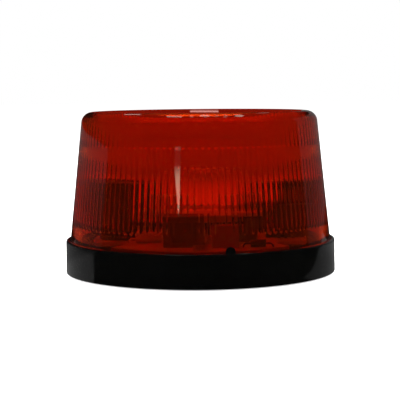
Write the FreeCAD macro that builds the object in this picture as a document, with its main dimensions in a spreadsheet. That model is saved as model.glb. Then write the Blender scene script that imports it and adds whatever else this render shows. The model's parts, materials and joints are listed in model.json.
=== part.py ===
"""Low-profile screw-lens strobe beacon, modelled piece by piece in millimetres.

Frame: origin at the middle of the mounting face, +Z up out of the lens, front towards -Y.
The red lens screws into the black base cup on a three-start thread: a third of a turn
lifts it clear. Everything electrical stands on one round circuit board inside.
"""
import FreeCAD, Part
import math
import os
import re

import Sketcher

# Driving dimensions: name, value in millimetres or degrees, what it is.
DIMENSIONS = [
    ("base_draft", 0.1, "base wall, leaning out from the rim to the foot"),
    ("rim_width", 1.3, "wall of the base cup"),
    ("rim_bevel", 0.5, "bevel of the rim's outer edge"),
    ("base_floor", 2.4, "floor of the base cup"),
    ("tab_angle", 282.0, "place of the index tab on the rim"),
    ("tab_width", 3.3, "index tab, along the rim"),
    ("tab_height", 2.3, "index tab above the rim"),
    ("tab_thickness", 0.7, "index tab, across the rim"),
    ("gasket_inset", 3.5, "edge of the mounting gasket inside the foot"),
    ("gasket_thickness", 2.0, "mounting gasket"),
    ("gasket_proud", 0.4, "gasket standing below the foot"),
    ("gasket_bore_gap", 1.5, "hole in the gasket round the flange of the cable grommet"),
    ("seat_clearance", 0.1, "pieces that seat in or on one another"),
    ("running_clearance", 0.3, "lens skirt, thread and seal inside the base cup"),
    ("grommet_hole_radius", 5.0, "cable hole in the base floor"),
    ("grommet_flange_radius", 7.5, "cable grommet"),
    ("grommet_flange", 1.2, "cable grommet"),
    ("grommet_bore_radius", 2.75, "cable grommet"),
    ("mount_inset", 10.9, "mounting screws inside the rim"),
    ("mount_hole_radius", 2.65, "mounting screws, 5 mm"),
    ("gasket_hole_radius", 3.0, "mounting screws through the gasket"),
    ("mount_angle", 90.0, "first mounting screw"),
    ("screw_inset", 4.0, "board screws inside the edge of the board"),
    ("screw_angle", 30.0, "first board screw"),
    ("boss_radius", 3.2, "board bosses"),
    ("boss_height", 5.6, "board bosses above the cup floor"),
    ("pilot_gap", 0.2, "pilot holes below the tips of the board screws"),
    ("screw_shank_radius", 1.25, "board screws"),
    ("screw_length", 6.0, "board screws, under the head"),
    ("screw_head_radius", 2.6, "board screws"),
    ("screw_head_height", 1.7, "board screws"),
    ("screw_slot_width", 0.7, "cross slot of the board screws"),
    ("board_thickness", 1.6, "circuit board"),
    ("board_inset", 5.0, "edge of the board inside the lens skirt"),
    ("board_hole_radius", 1.7, "board holes for the screws"),
    ("scallop_radius", 6.5, "board edge cut away round the mounting screws"),
    ("wire_hole_radius", 4.5, "supply wire hole in the board"),
    ("thread_lead", 18.0, "lens thread, rise in one turn"),
    ("lug_count", 3, "starts of the lens thread"),
    ("lug_height", 1.4, "thread lugs"),
    ("lug_reach", 1.1, "thread lugs"),
    ("lug_stations", 6, "straight lengths that make up a lug"),
    ("lug_seal_gap", 0.3, "base lugs below the seal groove of the lens"),
    ("base_lug_span", 36.0, "base lugs, angle round the cup"),
    ("lug_margin", 3.0, "lens lugs shorter than the base lugs, angle at each end"),
    ("thread_gap", 0.2, "between a lens lug and the base lug over it"),
    ("lens_top", 58.5, "ground to the top of the lens"),
    ("lens_draft", 5.0, "lens wall, leaning in from the shoulder to the roof"),
    ("lens_wall", 2.4, "lens wall under the roof"),
    ("lens_roof", 2.4, "lens roof"),
    ("lens_corner", 4.0, "rounding where the lens turns into its roof"),
    ("lens_inner_bevel", 1.2, "bevel inside the lens under the roof"),
    ("skirt_wall", 2.2, "lens skirt inside the base cup"),
    ("break_rise", 0.5, "lens bore starts to narrow above the rim"),
    ("shoulder_drop", 0.1, "lens shoulder below the rim"),
    ("seal_section", 1.5, "lens seal"),
    ("seal_sides", 6, "lens seal, faces of its round section"),
    ("seal_flange", 0.6, "lens wall between the seal groove and the shoulder"),
    ("flute_count", 120, "upright flutes inside the lens"),
    ("flute_depth", 0.6, "flutes at the foot of the lens"),
    ("flute_step", 0.05, "flute crests behind the plain bore"),
    ("flute_foot_gap", 5.9, "lower band of flutes above the start of the narrowing"),
    ("flute_band_gap", 3.5, "plain band between the flutes"),
    ("upper_flutes_length", 10.4, "upper band of flutes"),
    ("flute_roof_gap", 1.9, "upper band of flutes below the roof"),
    ("tube_middle", 1.5, "flash tube and reflector, to the right of the axis"),
    ("reflector_radius", 18.5, "reflector"),
    ("reflector_thickness", 1.0, "reflector"),
    ("reflector_lip", 1.4, "upturned lip of the reflector"),
    ("pillar_radius", 2.0, "reflector pillars"),
    ("pillar_inset", 4.5, "reflector pillars inside the edge of the reflector"),
    ("pillar_height", 7.6, "reflector above the board"),
    ("pillar_pin_radius", 1.0, "reflector pillars, pin through the reflector"),
    ("tube_radius", 2.4, "flash tube"),
    ("tube_inset", 5.5, "legs of the flash tube inside the edge of the reflector"),
    ("tube_bend_radius", 8.0, "flash tube"),
    ("tube_stand", 5.2, "lower ends of the glass above the reflector"),
    ("tube_rise", 10.2, "axis of the glass at the top, above its lower ends"),
    ("tube_sides", 20, "faces round the flash tube"),
    ("tube_bend_steps", 6, "straight runs in a bend of the flash tube"),
    ("sleeve_wall", 0.9, "silicone sleeves of the flash tube"),
    ("sleeve_grip", 2.0, "sleeves over the glass"),
    ("electrode_radius", 1.4, "tube electrodes"),
    ("electrode_height", 3.2, "tube electrodes"),
    ("lead_radius", 0.45, "tube leads"),
    ("trigger_wire_radius", 0.25, "trigger wire"),
    ("trigger_wire_turns", 5, "trigger wire round the top of the tube"),
    ("trigger_wire_steps", 16, "straight runs in a turn of the trigger wire"),
    ("wire_sides", 6, "faces of a fine wire"),
    ("can_inset", 2.0, "main capacitor inside the edge of the board"),
    ("can_radius", 9.0, "main capacitor"),
    ("can_height", 21.0, "main capacitor"),
    ("can_groove", 0.7, "crimp groove of the main capacitor"),
    ("reflector_gap", 1.3, "between the reflector and the main capacitor"),
    ("sink_inset", 1.0, "heat sink inside the edge of the board"),
    ("sink_along", 2.5, "heat sink"),
    ("sink_width", 14.0, "heat sink, across the view"),
    ("sink_depth", 11.0, "heat sink, with its fins"),
    ("sink_height", 20.5, "heat sink"),
    ("sink_plate", 2.2, "heat sink"),
    ("sink_fin", 1.2, "heat sink"),
    ("sink_fins", 5, "heat sink"),
    ("transistor_width", 10.0, "power transistor"),
    ("transistor_height", 9.0, "power transistor, moulded part"),
    ("transistor_thickness", 4.4, "power transistor"),
    ("transistor_tab", 1.3, "power transistor"),
    ("transistor_lift", 3.5, "power transistor above the board"),
    ("core_across", -5.5, "inverter transformer"),
    ("core_gap", 0.3, "inverter transformer in front of the reflector"),
    ("core_width", 14.0, "inverter transformer"),
    ("core_depth", 9.0, "inverter transformer"),
    ("core_height", 11.0, "inverter transformer"),
    ("core_limb", 2.6, "inverter transformer"),
    ("winding_depth", 9.6, "inverter transformer"),
    ("coil_gap", 1.3, "trigger transformer outside the reflector"),
    ("coil_angle", -54.0, "trigger transformer, seen from the middle of the reflector"),
    ("coil_radius", 4.2, "trigger transformer"),
    ("coil_height", 11.5, "trigger transformer"),
    ("coil_flange", 1.2, "trigger transformer"),
    ("back_gap", 1.8, "terminal block and timer chip behind the reflector"),
    ("block_across", -9.0, "terminal block"),
    ("block_width", 10.0, "terminal block"),
    ("block_depth", 8.0, "terminal block"),
    ("block_height", 9.5, "terminal block"),
    ("film_across", 8.5, "trigger capacitor"),
    ("film_gap", 7.8, "trigger capacitor in front of the reflector"),
    ("film_width", 9.0, "trigger capacitor"),
    ("film_depth", 4.0, "trigger capacitor"),
    ("film_height", 8.0, "trigger capacitor"),
    ("small_can_gap", 1.7, "input capacitor beside its board screw"),
    ("small_can_radius", 4.0, "input capacitor"),
    ("small_can_height", 11.0, "input capacitor"),
    ("chip_across", 6.0, "timer chip"),
    ("chip_width", 10.0, "timer chip"),
    ("chip_depth", 6.5, "timer chip"),
    ("chip_height", 3.4, "timer chip"),
    ("resistor_radius", 1.7, "resistors"),
    ("resistor_half_body", 4.5, "resistors"),
    ("resistor_back_across", -8.0, "rear resistor"),
    ("resistor_front_across", -18.0, "front resistor"),
    ("resistor_gap", 2.3, "resistors beside the terminal block and the inverter transformer"),
    ("diode_radius", 1.4, "rectifier diodes"),
    ("diode_half_body", 2.5, "rectifier diodes"),
    ("diode_front_across", 19.5, "front diode"),
    ("diode_back_across", -20.5, "rear diode"),
    ("axial_lead_radius", 0.35, "leads of resistors and diodes"),
    ("axial_lead_bend", 0.8, "leads of resistors and diodes"),
    ("axial_lead_run", 2.5, "leads of resistors and diodes, from the body outwards"),
]

# What follows from the sheet, from the board outwards and from the ground up: name, formula.
FOLLOWING = [
    ("reflector_rim", "reflector_radius + reflector_lip / 2"),
    ("board_radius", "reflector_rim - tube_middle + reflector_gap + can_radius * 2 + can_inset"),
    ("skirt_bore", "board_radius + board_inset"),
    ("skirt_radius", "skirt_bore + skirt_wall"),
    ("lens_foot_radius", "skirt_radius + lug_reach"),
    ("rim_bore", "lens_foot_radius + running_clearance"),
    ("rim_radius", "rim_bore + rim_width"),
    ("foot_radius", "rim_radius + base_draft"),
    ("gasket_radius", "foot_radius - gasket_inset"),
    ("gasket_bore_radius", "grommet_flange_radius + gasket_bore_gap"),
    ("mount_circle", "rim_radius - mount_inset"),
    ("screw_circle", "board_radius - screw_inset"),
    ("lens_top_radius", "lens_foot_radius - lens_draft"),
    ("bore_top_radius", "lens_top_radius - lens_wall"),
    ("floor_top", "gasket_thickness + base_floor"),
    ("base_lug_low", "floor_top + lug_height + thread_gap * 2"),
    ("lens_lug_span", "base_lug_span - lug_margin * 2"),
    ("lens_lug_low", "base_lug_low + thread_lead * lug_margin / 360 - thread_gap - lug_height"),
    ("groove_low", "base_lug_low + thread_lead * base_lug_span / 360 + lug_height + lug_seal_gap"),
    ("groove_top", "groove_low + seal_section + seat_clearance * 2"),
    ("shoulder_up", "groove_top + seal_flange"),
    ("base_height", "shoulder_up + shoulder_drop"),
    ("board_low", "floor_top + boss_height"),
    ("board_top", "board_low + board_thickness"),
    ("pilot_depth", "screw_length - board_thickness + pilot_gap"),
    ("skirt_break", "base_height + break_rise"),
    ("roof_low", "lens_top - lens_roof"),
    ("upper_flutes_end", "roof_low - flute_roof_gap"),
    ("upper_flutes_start", "upper_flutes_end - upper_flutes_length"),
    ("lower_flutes_end", "upper_flutes_start - flute_band_gap"),
    ("lower_flutes_start", "skirt_break + flute_foot_gap"),
    ("reflector_low", "board_top + pillar_height"),
    ("reflector_top", "reflector_low + reflector_thickness"),
    ("pillar_circle", "reflector_radius - pillar_inset"),
    ("tube_half_span", "reflector_radius - tube_inset"),
    ("tube_foot", "reflector_top + tube_stand"),
    ("tube_crown", "tube_foot + tube_rise"),
    ("tube_bridge", "2 * (tube_half_span - tube_bend_radius)"),
    ("sleeve_radius", "tube_radius + sleeve_wall"),
    ("can_across", "-(board_radius - can_radius - can_inset)"),
    ("sink_across", "board_radius - sink_width / 2 - sink_inset"),
    ("core_along", "-(reflector_rim + core_gap + winding_depth / 2)"),
    ("coil_reach", "reflector_rim + coil_gap + coil_radius"),
    ("coil_across", "tube_middle + coil_reach * cos(coil_angle)"),
    ("coil_along", "coil_reach * sin(coil_angle)"),
    ("block_along", "reflector_rim + back_gap + block_depth / 2"),
    ("chip_along", "reflector_rim + back_gap + chip_depth / 2"),
    ("film_along", "-(reflector_rim + film_gap + film_depth / 2)"),
    ("small_can_reach", "screw_head_radius + small_can_gap + small_can_radius"),
    ("small_can_across", "screw_circle * cos(screw_angle) - small_can_reach"),
    ("small_can_along", "screw_circle * sin(screw_angle)"),
    ("resistor_back_along", "block_along - block_depth / 2 - resistor_gap - resistor_radius"),
    ("resistor_front_along", "core_along + winding_depth / 2 + resistor_gap + resistor_radius"),
    ("resistor_half_span", "resistor_half_body + axial_lead_run"),
    ("diode_front_along", "film_along"),
    ("diode_back_along", "block_along"),
    ("diode_half_span", "diode_half_body + axial_lead_run"),
]
FOLLOWING_NAMES = [name for name, text in FOLLOWING]

doc = FreeCAD.newDocument("strobe_beacon")
sheet = doc.addObject("Spreadsheet::Sheet", "dims")
for row, (name, value, note) in enumerate(DIMENSIONS, start=1):
    sheet.set(f"A{row}", name)
    sheet.set(f"B{row}", str(value))
    sheet.set(f"C{row}", note)
    sheet.setAlias(f"B{row}", name)
doc.recompute()

NODES = []
THIRD_TURNS = (0, 120, 240)
UP = FreeCAD.Vector(0, 0, 1)


def formula(text):
    """Every name with an underscore is a cell of the sheet, or follows from the sheet."""
    def owner(found):
        return ("fits." if found.group() in FOLLOWING_NAMES else "dims.") + found.group()
    return re.sub(r"[a-z]+(?:_[a-z]+)+", owner, str(text))


fits = doc.addObject("App::VarSet", "fits")
for name, text in FOLLOWING:
    fits.addProperty("App::PropertyFloat", name)
for name, text in FOLLOWING:
    fits.setExpression(name, formula(text))
doc.recompute()


def dim(name):
    if name in FOLLOWING_NAMES:
        return float(getattr(fits, name))
    return float(sheet.get(name))


def bind(item, **formulas):
    for prop, text in formulas.items():
        item.setExpression(prop, formula(text))
    return item


def place(item, across="0", along="0", up="0", turn=None):
    item.setExpression("Placement.Base.x", formula(across))
    item.setExpression("Placement.Base.y", formula(along))
    item.setExpression("Placement.Base.z", formula(up))
    if turn is not None:
        item.setExpression("Placement.Rotation.Angle", formula(turn))
    return item


def node(item, label):
    item.Label = label
    NODES.append(item)
    return item


def box(name, wide, deep, tall, across, along, up):
    """A block centred on across and along, standing on up."""
    item = doc.addObject("Part::Box", name)
    bind(item, Length=wide, Width=deep, Height=tall)
    return place(item, f"{across} - ({wide}) / 2", f"{along} - ({deep}) / 2", up)


def rod(name, radius, tall, across, along, up):
    item = doc.addObject("Part::Cylinder", name)
    bind(item, Radius=radius, Height=tall)
    return place(item, across, along, up)


def cut(name, base, tool):
    item = doc.addObject("Part::Cut", name)
    item.Base = base
    item.Tool = tool
    return item


def fuse(name, pieces):
    item = doc.addObject("Part::MultiFuse", name)
    item.Shapes = pieces
    return item


def group(name, pieces):
    item = doc.addObject("Part::Compound", name)
    item.Links = pieces
    return item


def shaped(name, shape):
    item = doc.addObject("Part::Feature", name)
    item.Shape = shape
    return item


def origin_plane(body, role):
    return [plane for plane in body.Origin.OriginFeatures if plane.Role == role][0]


def sketch(body, name, role):
    item = body.newObject("Sketcher::SketchObject", name)
    item.AttachmentSupport = (origin_plane(body, role), [""])
    item.MapMode = "FlatFace"
    return item


def outline(body, name, corners):
    """Closed upright half section: each corner is a formula for radius and one for height."""
    item = sketch(body, name, "XZ_Plane")
    count = len(corners)
    middle = dim("rim_radius") / 2
    start = []
    for i in range(count):
        turn = math.tau * i / count
        out = FreeCAD.Vector(math.cos(turn), math.sin(turn), 0) * middle / 2
        start.append(FreeCAD.Vector(middle, middle, 0) + out)
    item.addGeometry([Part.LineSegment(start[i], start[(i + 1) % count]) for i in range(count)], False)
    for i in range(count):
        item.addConstraint(Sketcher.Constraint("Coincident", i, 2, (i + 1) % count, 1))
    for i, (radius, height) in enumerate(corners):
        if radius == "0":
            item.addConstraint(Sketcher.Constraint("PointOnObject", i, 1, -2))
        else:
            number = item.addConstraint(Sketcher.Constraint("DistanceX", -1, 1, i, 1, start[i].x))
            item.setExpression(f"Constraints[{number}]", formula(radius))
        if height == "0":
            item.addConstraint(Sketcher.Constraint("PointOnObject", i, 1, -1))
        else:
            number = item.addConstraint(Sketcher.Constraint("DistanceY", -1, 1, i, 1, start[i].y))
            item.setExpression(f"Constraints[{number}]", formula(height))
    return item


def turned(name, corners):
    """A body turned about its own upright axis."""
    body = doc.addObject("PartDesign::Body", name)
    profile = outline(body, name + "_section", corners)
    solid = body.newObject("PartDesign::Revolution", name + "_turned")
    solid.Profile = profile
    solid.ReferenceAxis = (profile, ["V_Axis"])
    solid.Angle = 360
    doc.recompute()
    return body


def circle(body, name, radius, across, along, up):
    item = sketch(body, name, "XY_Plane")
    item.setExpression("AttachmentOffset.Base.z", formula(up))
    start = dim("rim_radius") / 2
    item.addGeometry(Part.Circle(FreeCAD.Vector(start, start, 0), UP, start / 2), False)
    sized = item.addConstraint(Sketcher.Constraint("Radius", 0, 1))
    item.setExpression(f"Constraints[{sized}]", formula(radius))
    for kind, value in (("DistanceX", across), ("DistanceY", along)):
        if value == "0":
            axis = -2 if kind == "DistanceX" else -1
            item.addConstraint(Sketcher.Constraint("PointOnObject", 0, 3, axis))
        else:
            number = item.addConstraint(Sketcher.Constraint(kind, -1, 1, 0, 3, start))
            item.setExpression(f"Constraints[{number}]", formula(value))
    return item


def at_radius(radius, angle):
    return f"{radius} * cos({angle})", f"{radius} * sin({angle})"


def round_holes(body, name, radius, circle_radius, angle, up, depth=None):
    """Three round holes on a circle about the axis, cut downwards from a height."""
    before = body.Shape.Volume
    across, along = at_radius(circle_radius, angle)
    hole = body.newObject("PartDesign::Pocket", name)
    hole.Profile = circle(body, name + "_circle", radius, across, along, up)
    if depth:
        hole.setExpression("Length", formula(depth))
    else:
        hole.Type = "ThroughAll"
    axis_sketch = sketch(body, name + "_axis", "XY_Plane")
    pattern = body.newObject("PartDesign::PolarPattern", name + "_round")
    pattern.Originals = [hole]
    pattern.Axis = (axis_sketch, ["N_Axis"])
    pattern.Angle = 360
    pattern.Occurrences = 3
    body.Tip = pattern
    doc.recompute()
    if body.Shape.Volume > before - 1:
        raise RuntimeError(name + " cut nothing")


def ring_edges(shape, radius, height):
    """Names of the full circles at one radius and height."""
    names = []
    for i, edge in enumerate(shape.Edges, start=1):
        round_edge = isinstance(edge.Curve, Part.Circle)
        if round_edge and abs(edge.Curve.Radius - radius) < 0.02 and abs(edge.Curve.Center.z - height) < 0.02:
            names.append(f"Edge{i}")
    return names


def eased(body, name, kind, radius, height, size):
    """The full circle at one radius and height is rounded or bevelled."""
    before = body.Tip
    item = body.newObject(f"PartDesign::{kind}", name)
    item.Base = (before, ring_edges(before.Shape, radius, height))
    item.setExpression("Radius" if kind == "Fillet" else "Size", formula(size))
    doc.recompute()
    return item


def skinned(rings):
    """A solid of flat faces over a run of rings with as many corners each."""
    faces = [Part.Face(Part.makePolygon(ring + ring[:1])) for ring in (rings[0], rings[-1])]
    for low, high in zip(rings, rings[1:]):
        for k, a in enumerate(low):
            b = low[(k + 1) % len(low)]
            c = high[(k + 1) % len(low)]
            d = high[k]
            if abs((b - a).cross(c - a).normalize().dot(d - a)) < 1e-7:
                faces.append(Part.Face(Part.makePolygon([a, b, c, d, a])))
            else:
                faces.append(Part.Face(Part.makePolygon([a, b, c, a])))
                faces.append(Part.Face(Part.makePolygon([a, c, d, a])))
    solid = Part.Solid(Part.Shell(faces))
    solid.fix(1e-6, 1e-6, 1e-6)
    if solid.Volume < 0:
        solid.reverse()
    return solid


def helical_lug(name, inner, outer, low_end, span, start_angle):
    """A length of right-hand thread: upright rectangles joined round the axis."""
    lead = dim("thread_lead")
    height = dim("lug_height")
    stations = int(dim("lug_stations"))
    sections = []
    for i in range(stations + 1):
        turn = math.radians(start_angle + span * i / stations)
        low = low_end + lead * span * i / stations / 360
        corners = ((inner, low), (outer, low), (outer, low + height), (inner, low + height))
        sections.append([FreeCAD.Vector(radius * math.cos(turn), radius * math.sin(turn), up)
                         for radius, up in corners])
    return shaped(name, skinned(sections))


def flute_ring(height):
    """Saw-tooth ring: crests just behind the plain bore, roots a flute deeper, in step with the radius."""
    foot = dim("skirt_bore")
    narrowing = (foot - dim("bore_top_radius")) / (dim("roof_low") - dim("skirt_break"))
    crest = foot - narrowing * (height - dim("skirt_break")) + dim("flute_step")
    half_steps = 2 * int(dim("flute_count"))
    points = []
    for i in range(half_steps):
        radius = crest * (1 + dim("flute_depth") / foot * (i % 2))
        turn = math.tau * i / half_steps
        points.append(FreeCAD.Vector(radius * math.cos(turn), radius * math.sin(turn), height))
    return points


def faceted_wire(points, radius, sides):
    """A wire or tube of polygon section along short straight runs."""
    rings = []
    for i, point in enumerate(points):
        before = points[max(i - 1, 0)]
        after = points[min(i + 1, len(points) - 1)]
        along = (after - before).normalize()
        side = along.cross(FreeCAD.Vector(0, 1, 0))
        if side.Length < 0.1:
            side = along.cross(UP)
        side = side.normalize()
        up = along.cross(side)
        rings.append([point + side * (radius * math.cos(math.tau * k / sides))
                      + up * (radius * math.sin(math.tau * k / sides)) for k in range(sides)])
    return skinned(rings)


def base_housing():
    recess = "(gasket_radius + seat_clearance)"
    cup = turned("base_cup", [
        ("grommet_hole_radius", "gasket_thickness"),
        (recess, "gasket_thickness"),
        (recess, "gasket_proud"),
        ("foot_radius", "gasket_proud"),
        ("rim_radius", "base_height"),
        ("rim_bore", "base_height"),
        ("rim_bore", "floor_top"),
        ("grommet_hole_radius", "floor_top"),
    ])
    eased(cup, "rim_edge", "Chamfer", dim("rim_radius"), dim("base_height"), "rim_bevel")
    across, along = at_radius("screw_circle", "screw_angle")
    boss = cup.newObject("PartDesign::Pad", "board_boss")
    boss.Profile = circle(cup, "board_boss_circle", "boss_radius", across, along, "floor_top")
    boss.setExpression("Length", formula("boss_height"))
    centre = sketch(cup, "board_boss_axis", "XY_Plane")
    bosses = cup.newObject("PartDesign::PolarPattern", "board_bosses")
    bosses.Originals = [boss]
    bosses.Axis = (centre, ["N_Axis"])
    bosses.Angle = 360
    bosses.Occurrences = 3
    cup.Tip = bosses
    doc.recompute()
    round_holes(cup, "pilot_holes", "screw_shank_radius + seat_clearance / 2", "screw_circle",
                "screw_angle", "board_low", "pilot_depth")
    round_holes(cup, "mounting_holes", "mount_hole_radius", "mount_circle", "mount_angle", "floor_top")
    bore = dim("rim_bore")
    span = dim("base_lug_span")
    count = int(dim("lug_count"))
    lugs = [helical_lug(f"base_lug_{i}", bore - dim("lug_reach"), bore + dim("rim_width") / 3,
                        dim("base_lug_low"), span, 360 * i / count - span / 2) for i in range(count)]
    half = "(tab_width / 2)"
    tab_middle = "(rim_radius - rim_bevel - tab_thickness / 2)"
    shank = box("tab_shank", "tab_thickness", "tab_width", f"tab_height - {half} + rim_width",
                tab_middle, "0", "base_height - rim_width")
    crown = rod("tab_crown", half, "tab_thickness", f"{tab_middle} - tab_thickness / 2", "0",
                f"base_height + tab_height - {half}")
    crown.Placement.Rotation = FreeCAD.Rotation(FreeCAD.Vector(0, 1, 0), 90)
    tab = place(fuse("index_tab", [shank, crown]), turn="tab_angle")
    node(fuse("base", [cup, tab] + lugs), "base_housing")


def mounting_gasket():
    gasket = turned("gasket", [
        ("gasket_bore_radius", "0"),
        ("gasket_radius", "0"),
        ("gasket_radius", "gasket_thickness"),
        ("gasket_bore_radius", "gasket_thickness"),
    ])
    round_holes(gasket, "gasket_holes", "gasket_hole_radius", "mount_circle", "mount_angle",
                "gasket_thickness")
    node(gasket, "mounting_gasket")


def cable_grommet():
    neck = "(grommet_hole_radius - seat_clearance)"
    low = "(gasket_thickness - grommet_flange)"
    nose = "(grommet_flange * 2)"
    grommet = turned("grommet", [
        ("grommet_bore_radius", low),
        ("grommet_flange_radius", low),
        ("grommet_flange_radius", "gasket_thickness"),
        (neck, "gasket_thickness"),
        (neck, "floor_top"),
        ("grommet_flange_radius", "floor_top"),
        ("grommet_flange_radius", "floor_top + grommet_flange"),
        (neck, f"floor_top + {nose}"),
        ("grommet_bore_radius", f"floor_top + {nose}"),
    ])
    node(grommet, "cable_grommet")


def circuit_board():
    board = turned("board", [
        ("wire_hole_radius", "board_low"),
        ("board_radius", "board_low"),
        ("board_radius", "board_top"),
        ("wire_hole_radius", "board_top"),
    ])
    round_holes(board, "board_scallops", "scallop_radius", "mount_circle", "mount_angle", "board_top")
    round_holes(board, "board_screw_holes", "board_hole_radius", "screw_circle", "screw_angle", "board_top")
    node(board, "circuit_board")
    screws = []
    for turn in THIRD_TURNS:
        across, along = at_radius("screw_circle", f"(screw_angle + {turn})")
        stem = rod(f"screw_stem_{turn}", "screw_shank_radius", "screw_length", across, along,
                   "board_top - screw_length")
        head = rod(f"screw_head_{turn}", "screw_head_radius", "screw_head_height", across, along, "board_top")
        slot = "screw_slot_width"
        slot_up = "board_top + screw_head_height / 2"
        reach = "screw_head_radius * 1.3"
        slots = [box(f"screw_slot_a_{turn}", reach, slot, "screw_head_height", across, along, slot_up),
                 box(f"screw_slot_b_{turn}", slot, reach, "screw_head_height", across, along, slot_up)]
        screws.append(cut(f"board_screw_{turn}", fuse(f"screw_blank_{turn}", [stem, head]),
                          fuse(f"screw_cross_{turn}", slots)))
    node(group("board_screw_set", screws), "board_screws")


def lens():
    groove = "(lens_foot_radius - seal_section - seat_clearance)"
    blank = turned("lens_blank", [
        ("skirt_bore", "floor_top + thread_gap"),
        ("skirt_radius", "floor_top + thread_gap"),
        ("skirt_radius", "groove_low"),
        (groove, "groove_low"),
        (groove, "groove_top"),
        ("skirt_radius", "groove_top"),
        ("skirt_radius", "shoulder_up"),
        ("lens_foot_radius", "shoulder_up"),
        ("lens_top_radius", "lens_top"),
        ("0", "lens_top"),
        ("0", "roof_low"),
        ("bore_top_radius", "roof_low"),
        ("skirt_bore", "skirt_break"),
    ])
    eased(blank, "lens_edge", "Fillet", dim("lens_top_radius"), dim("lens_top"), "lens_corner")
    eased(blank, "lens_inner_edge", "Chamfer", dim("bore_top_radius"), dim("roof_low"), "lens_inner_bevel")
    cutters = [shaped(band, skinned([flute_ring(dim(f"{band}_start")), flute_ring(dim(f"{band}_end"))]))
               for band in ("lower_flutes", "upper_flutes")]
    fluted = cut("fluted_lens", blank, fuse("flute_cutters", cutters))
    span = dim("lens_lug_span")
    count = int(dim("lug_count"))
    skirt = dim("skirt_radius")
    lugs = [helical_lug(f"lens_lug_{i}", skirt - dim("skirt_wall") / 3, skirt + dim("lug_reach"),
                        dim("lens_lug_low"), span, 360 * i / count - span / 2) for i in range(count)]
    node(fuse("threaded_lens", [fluted] + lugs), "lens")
    sides = int(dim("seal_sides"))
    turns = [360 * (i + 0.5) / sides for i in range(sides)]
    seal = turned("seal_ring", [(f"lens_foot_radius - seal_section / 2 + seal_section / 2 * cos({turn})",
                                 f"(groove_low + groove_top) / 2 + seal_section / 2 * sin({turn})")
                                for turn in turns])
    node(seal, "lens_seal")


def reflector_and_tube():
    dish = turned("reflector_dish", [
        ("0", "reflector_low"),
        ("reflector_radius", "reflector_low"),
        ("reflector_rim", "reflector_top + reflector_lip"),
        ("reflector_rim - reflector_thickness", "reflector_top + reflector_lip"),
        ("reflector_radius - reflector_thickness", "reflector_top"),
        ("0", "reflector_top"),
    ])
    place(dish, across="tube_middle")
    tools = []
    pillars = []
    for turn in (30, 150, 270):
        across = f"tube_middle + pillar_circle * cos({turn})"
        along = f"pillar_circle * sin({turn})"
        tools.append(rod(f"pin_hole_{turn}", "pillar_pin_radius + seat_clearance", "reflector_thickness * 3",
                         across, along, "reflector_low - reflector_thickness"))
        post = rod(f"pillar_post_{turn}", "pillar_radius", "pillar_height", across, along, "board_top")
        pin = rod(f"pillar_pin_{turn}", "pillar_pin_radius", "reflector_thickness * 2", across, along,
                  "reflector_low")
        pillars.append(fuse(f"pillar_{turn}", [post, pin]))
    sleeves = []
    electrodes = []
    for hand, side in (("left", -1), ("right", 1)):
        across = f"tube_middle + ({side}) * tube_half_span"
        tools.append(rod(f"lead_hole_{hand}", "electrode_radius", "reflector_thickness * 3", across, "0",
                         "reflector_low - reflector_thickness"))
        outer = rod(f"sleeve_outer_{hand}", "sleeve_radius", "tube_stand + sleeve_grip", across, "0",
                    "reflector_top")
        bore = rod(f"sleeve_bore_{hand}", "tube_radius + seat_clearance", "sleeve_radius * 2", across, "0",
                   "tube_foot")
        throat = rod(f"sleeve_throat_{hand}", "electrode_radius + seat_clearance", "tube_foot", across, "0",
                     "board_top")
        sleeves.append(cut(f"sleeve_{hand}", outer, fuse(f"sleeve_inside_{hand}", [bore, throat])))
        post = rod(f"electrode_post_{hand}", "electrode_radius", "electrode_height", across, "0",
                   "tube_foot - electrode_height")
        lead = rod(f"electrode_lead_{hand}", "lead_radius", "tube_foot - board_top", across, "0", "board_top")
        electrodes.append(fuse(f"electrode_{hand}", [post, lead]))
    node(cut("pierced_reflector", dish, fuse("reflector_holes", tools)), "reflector")
    node(group("pillar_set", pillars), "reflector_pillars")
    node(group("sleeve_set", sleeves), "tube_sleeves")
    node(group("electrode_set", electrodes), "tube_electrodes")
    node(shaped("glass", faceted_wire(tube_path(), dim("tube_radius"), int(dim("tube_sides")))), "flash_tube")
    turns = dim("trigger_wire_turns")
    around = dim("tube_radius") + dim("trigger_wire_radius") + dim("seat_clearance")
    steps = int(turns * dim("trigger_wire_steps"))
    points = []
    for i in range(steps + 1):
        turn = math.tau * i * turns / steps
        points.append(FreeCAD.Vector(dim("tube_middle") + dim("tube_bridge") * (i / steps - 0.5),
                                     around * math.cos(turn), dim("tube_crown") + around * math.sin(turn)))
    wound = faceted_wire(points, dim("trigger_wire_radius"), int(dim("wire_sides")))
    node(shaped("trigger_coil_wire", wound), "trigger_wire")


def tube_path():
    """Middle line of the flash tube: up, over the bridge and down again."""
    bend = dim("tube_bend_radius")
    steps = int(dim("tube_bend_steps"))
    half_bridge = dim("tube_bridge") / 2
    middle = dim("tube_middle")
    right = [FreeCAD.Vector(middle + dim("tube_half_span"), 0, dim("tube_foot"))]
    for i in range(steps + 1):
        turn = math.pi / 2 * i / steps
        right.append(FreeCAD.Vector(middle + half_bridge + bend * math.cos(turn), 0,
                                    dim("tube_crown") - bend + bend * math.sin(turn)))
    left = [FreeCAD.Vector(2 * middle - point.x, 0, point.z) for point in reversed(right)]
    return right + left


def main_capacitor():
    top = "(board_top + can_height)"
    can = turned("capacitor_can", [
        ("0", "board_top"),
        ("can_radius", "board_top"),
        ("can_radius", "board_top + can_groove * 2"),
        ("can_radius - can_groove", "board_top + can_groove * 3"),
        ("can_radius", "board_top + can_groove * 4"),
        ("can_radius", top),
        ("can_radius - can_groove * 2", top),
        ("can_radius - can_groove * 2", f"{top} - can_groove / 2"),
        ("0", f"{top} - can_groove / 2"),
    ])
    node(place(can, across="can_across"), "main_capacitor")


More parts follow.
